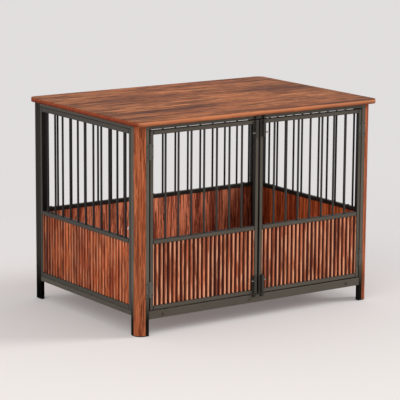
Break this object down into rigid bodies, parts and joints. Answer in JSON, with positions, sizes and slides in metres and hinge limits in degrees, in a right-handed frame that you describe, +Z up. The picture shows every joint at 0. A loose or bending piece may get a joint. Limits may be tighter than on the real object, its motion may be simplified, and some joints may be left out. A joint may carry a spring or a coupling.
{
  "type": "dog crate end table",
  "caption": "Wood-topped steel dog crate on short legs, with barred and fluted panels and a pair of hinged front doors held shut by slide bolts.",
  "frame": {"origin": "on the floor under the middle of the tabletop, the bounding box's bottom centre", "axes": "+X to the right along the front, +Y from the front to the back, +Z up"},
  "size_m": [0.95, 0.66, 0.68],
  "materials": {
    "walnut": "satin lacquered walnut",
    "board_walnut": "satin walnut-finish board",
    "floor_panel": "walnut-finish board",
    "steel": "dark bronze powder coat",
    "hardware": "dark satin coated steel",
    "bright_metal": "dark nickel plate",
    "fasteners": "black oxide",
    "foot_plastic": "moulded black plastic"
  },
  "bodies": {
    "crate": {"tabletop": "walnut", "tabletop_tabs": "steel", "tabletop_screws": "fasteners", "left_corner_post": "walnut", "right_corner_post": "walnut", "corner_post_screws": "fasteners", "left_front_post": "steel", "right_front_post": "steel", "front_top_rail": "steel", "front_bottom_rail": "steel", "left_side_legs": "steel", "right_side_legs": "steel", "left_side_rails": "steel", "right_side_rails": "steel", "back_legs": "steel", "back_rails": "steel", "left_side_infill_frame": "steel", "right_side_infill_frame": "steel", "back_infill_frame": "steel", "left_side_bars": "steel", "right_side_bars": "steel", "back_bars": "steel", "left_side_board": "board_walnut", "right_side_board": "board_walnut", "back_board": "board_walnut", "floor_board": "floor_panel", "floor_supports": "steel", "floor_support_screws": "fasteners", "feet": "foot_plastic", "middle_rail_screws": "fasteners", "panel_bolts": "bright_metal", "panel_bolt_washers": "fasteners", "hinge_frame_leaves": "hardware", "hinge_pins": "bright_metal", "hinge_frame_screws": "fasteners", "bolt_keepers": "hardware", "keeper_screws": "fasteners"},
    "left_door": {"left_door_frame": "steel", "left_door_bars": "steel", "left_door_board": "board_walnut", "left_door_hinge_leaves": "hardware", "left_door_hinge_screws": "fasteners", "left_door_board_screws": "fasteners", "upper_left_bolt_guide": "hardware", "lower_left_bolt_guide": "hardware", "left_bolt_guide_screws": "fasteners"},
    "right_door": {"right_door_frame": "steel", "right_door_bars": "steel", "right_door_board": "board_walnut", "right_door_hinge_leaves": "hardware", "right_door_hinge_screws": "fasteners", "right_door_board_screws": "fasteners", "upper_right_bolt_guide": "hardware", "lower_right_bolt_guide": "hardware", "right_bolt_guide_screws": "fasteners"},
    "upper_left_slide_bolt": {"upper_left_bolt": "bright_metal"},
    "upper_right_slide_bolt": {"upper_right_bolt": "bright_metal"},
    "lower_left_slide_bolt": {"lower_left_bolt": "bright_metal"},
    "lower_right_slide_bolt": {"lower_right_bolt": "bright_metal"}
  },
  "joints": [
    {"name": "left_door_hinge", "type": "hinge", "parent": "crate", "child": "left_door", "pos_m": [-0.41775, -0.317, 0.3665], "axis": [0, 0, 1], "range_deg": [-170, 0]},
    {"name": "right_door_hinge", "type": "hinge", "parent": "crate", "child": "right_door", "pos_m": [0.41775, -0.317, 0.3665], "axis": [0, 0, 1], "range_deg": [0, 170]},
    {"name": "upper_left_bolt_slide", "type": "slide", "parent": "left_door", "child": "upper_left_slide_bolt", "axis": [0, 0, 1], "range_m": [0, 0.014]},
    {"name": "upper_right_bolt_slide", "type": "slide", "parent": "right_door", "child": "upper_right_slide_bolt", "axis": [0, 0, 1], "range_m": [0, 0.014]},
    {"name": "lower_left_bolt_slide", "type": "slide", "parent": "left_door", "child": "lower_left_slide_bolt", "axis": [0, 0, -1], "range_m": [0, 0.014]},
    {"name": "lower_right_bolt_slide", "type": "slide", "parent": "right_door", "child": "lower_right_slide_bolt", "axis": [0, 0, -1], "range_m": [0, 0.014]}
  ]
}
